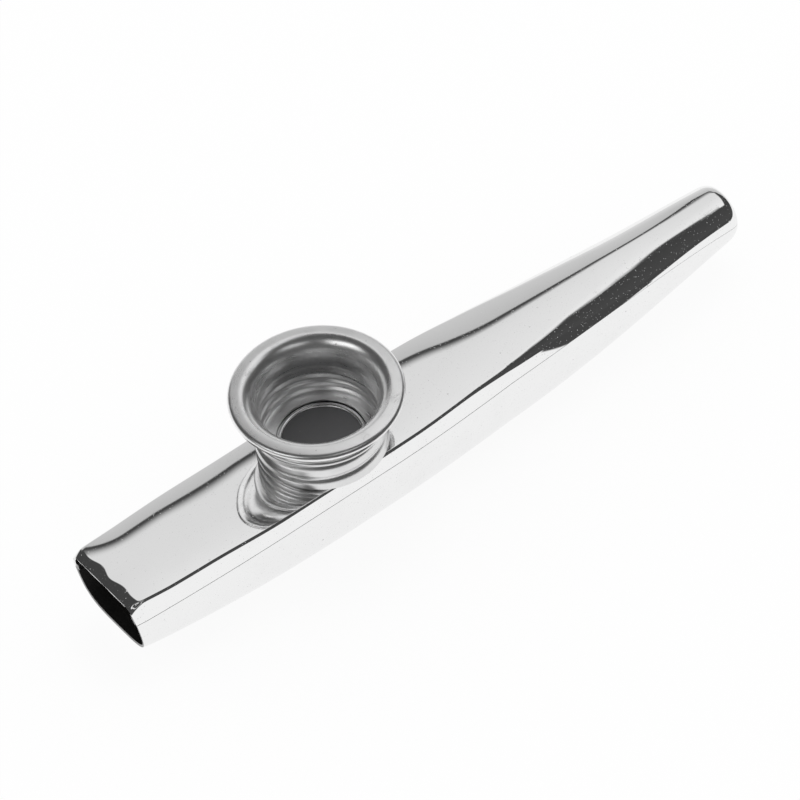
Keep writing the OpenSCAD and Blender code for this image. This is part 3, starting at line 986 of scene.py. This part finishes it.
def studio_world():
    """A plain pale world, in which metal sees a lit ceiling, a grey wall, two lamps and a dark room"""
    world = bpy.data.worlds.new("studio")
    bpy.context.scene.world = world
    tree = ShaderTree(world)
    x, y, z = tree.split(tree.add("ShaderNodeTexCoord", None, None, "Generated"))
    across = y.math("ARCTAN2", z)
    along = x.math("ARCTAN2", z)
    azimuth = x.math("ARCTAN2", y * -1.0)
    elevation = z.math("ARCSINE")
    near_edge = along.ramp(26.5 * DEGREE, 34 * DEGREE, -5 * DEGREE, -26 * DEGREE)
    ceiling = ((across - near_edge).step(-2 * DEGREE, 2 * DEGREE) * window(across, -40, 44, 3.5)
               * window(along, 11, 48, 3))
    ceiling_shade = across.ramp(-32 * DEGREE, 40 * DEGREE, 0.95, 0.76)
    wall_gap = window(across, 40, 78, 4) * (1.0 - along.step(5 * DEGREE, 13 * DEGREE))
    wall = across.step(48.5 * DEGREE, 50 * DEGREE) * (1.0 - wall_gap)
    wall_shade = across.ramp(49 * DEGREE, 110 * DEGREE, 0.54, 0.88)
    right_lamp = window(azimuth, -24, 14, 3) * window(elevation, 33, 45, 3)
    left_lamp = window(azimuth, -112, -62, 5) * window(elevation, 26, 45, 3)
    dark = across.ramp(-100 * DEGREE, -34 * DEGREE, 0.07, 0.055)
    shade = (dark * (1.0 - ceiling) * (1.0 - wall) + ceiling * ceiling_shade + wall * wall_shade
             + right_lamp * 0.9 + left_lamp * 1.5)
    path = tree.node("ShaderNodeLightPath")
    mirrored = Signal(tree, path.outputs["Is Glossy Ray"])
    seen = Signal(tree, path.outputs["Is Camera Ray"])
    plain = 0.86
    strength = mirrored * shade + seen + (1.0 - mirrored) * (1.0 - seen) * plain
    light = tree.add("ShaderNodeBackground", None, {"Color": (1.0, 1.0, 1.0, 1.0), "Strength": strength})
    tree.surface(light, "ShaderNodeOutputWorld")


class KAZOO_OT_studio(bpy.types.Operator):
    """Builds the pale floor, the soft light and the camera"""
    bl_idname = "kazoo.studio"
    bl_label = "Studio"

    def execute(self, context):
        studio = context.scene.kazoo_studio
        bm = bmesh.new()
        bmesh.ops.create_grid(bm, x_segments=1, y_segments=1, size=studio.floor_reach)
        mesh = bpy.data.meshes.new("floor")
        bm.to_mesh(mesh)
        bm.free()
        mesh.materials.append(floor_material(studio))
        floor = bpy.data.objects.new("floor", mesh)
        context.scene.collection.objects.link(floor)
        studio_world()

        lamp = bpy.data.lights.new("overhead", "AREA")
        lamp.shape = "DISK"
        lamp.size = 0.5
        lamp.energy = 1.2
        lamp_object = bpy.data.objects.new("overhead", lamp)
        lamp_object.location = (0.1, 0.05, 0.8)
        lamp_object.visible_glossy = False
        context.scene.collection.objects.link(lamp_object)

        turn, lift = studio.azimuth, studio.elevation
        back = Vector((math.sin(turn) * math.cos(lift), -math.cos(turn) * math.cos(lift), math.sin(lift)))
        right = Vector((0, 0, 1)).cross(back).normalized()
        up = back.cross(right)
        rolled_right = right * math.cos(studio.roll) + up * math.sin(studio.roll)
        rolled_up = up * math.cos(studio.roll) - right * math.sin(studio.roll)
        target = Vector((0, 0, studio.target_height))
        place = (target + back * studio.distance + rolled_right * studio.shift_right
                 + rolled_up * studio.shift_up)
        facing = Matrix((rolled_right, rolled_up, back)).transposed().to_4x4()
        view = bpy.data.cameras.new("camera")
        view.lens = studio.focal_length
        view.clip_start = 0.01
        camera = bpy.data.objects.new("camera", view)
        camera.matrix_world = Matrix.Translation(place) @ facing
        context.scene.collection.objects.link(camera)
        context.scene.camera = camera
        context.scene.view_settings.view_transform = "Standard"
        return {"FINISHED"}


class KAZOO_PT_build(bpy.types.Panel):
    """Lists the steps that build the kazoo"""
    bl_idname = "KAZOO_PT_build"
    bl_label = "Kazoo"
    bl_space_type = "VIEW_3D"
    bl_region_type = "UI"
    bl_category = "Kazoo"

    def draw(self, context):
        for step in STEPS:
            self.layout.operator(step.bl_idname)


GROUPS = {"kazoo_tube": KazooTube, "kazoo_turret": KazooTurret, "kazoo_finish": KazooFinish,
          "kazoo_studio": KazooStudio}
STEPS = (KAZOO_OT_upper_shell, KAZOO_OT_lower_shell, KAZOO_OT_neck, KAZOO_OT_film, KAZOO_OT_turret,
         KAZOO_OT_studio)
CLASSES = (*GROUPS.values(), *STEPS, KAZOO_PT_build)


def register():
    for item in CLASSES:
        bpy.utils.register_class(item)
    for name, group in GROUPS.items():
        setattr(bpy.types.Scene, name, PointerProperty(type=group))


def unregister():
    for name in GROUPS:
        delattr(bpy.types.Scene, name)
    for item in reversed(CLASSES):
        bpy.utils.unregister_class(item)


def main():
    register()
    bpy.ops.kazoo.upper_shell()
    bpy.ops.kazoo.lower_shell()
    bpy.ops.kazoo.neck()
    bpy.ops.kazoo.film()
    bpy.ops.kazoo.turret()
    bpy.ops.kazoo.studio()


if __name__ == "__main__":
    main()
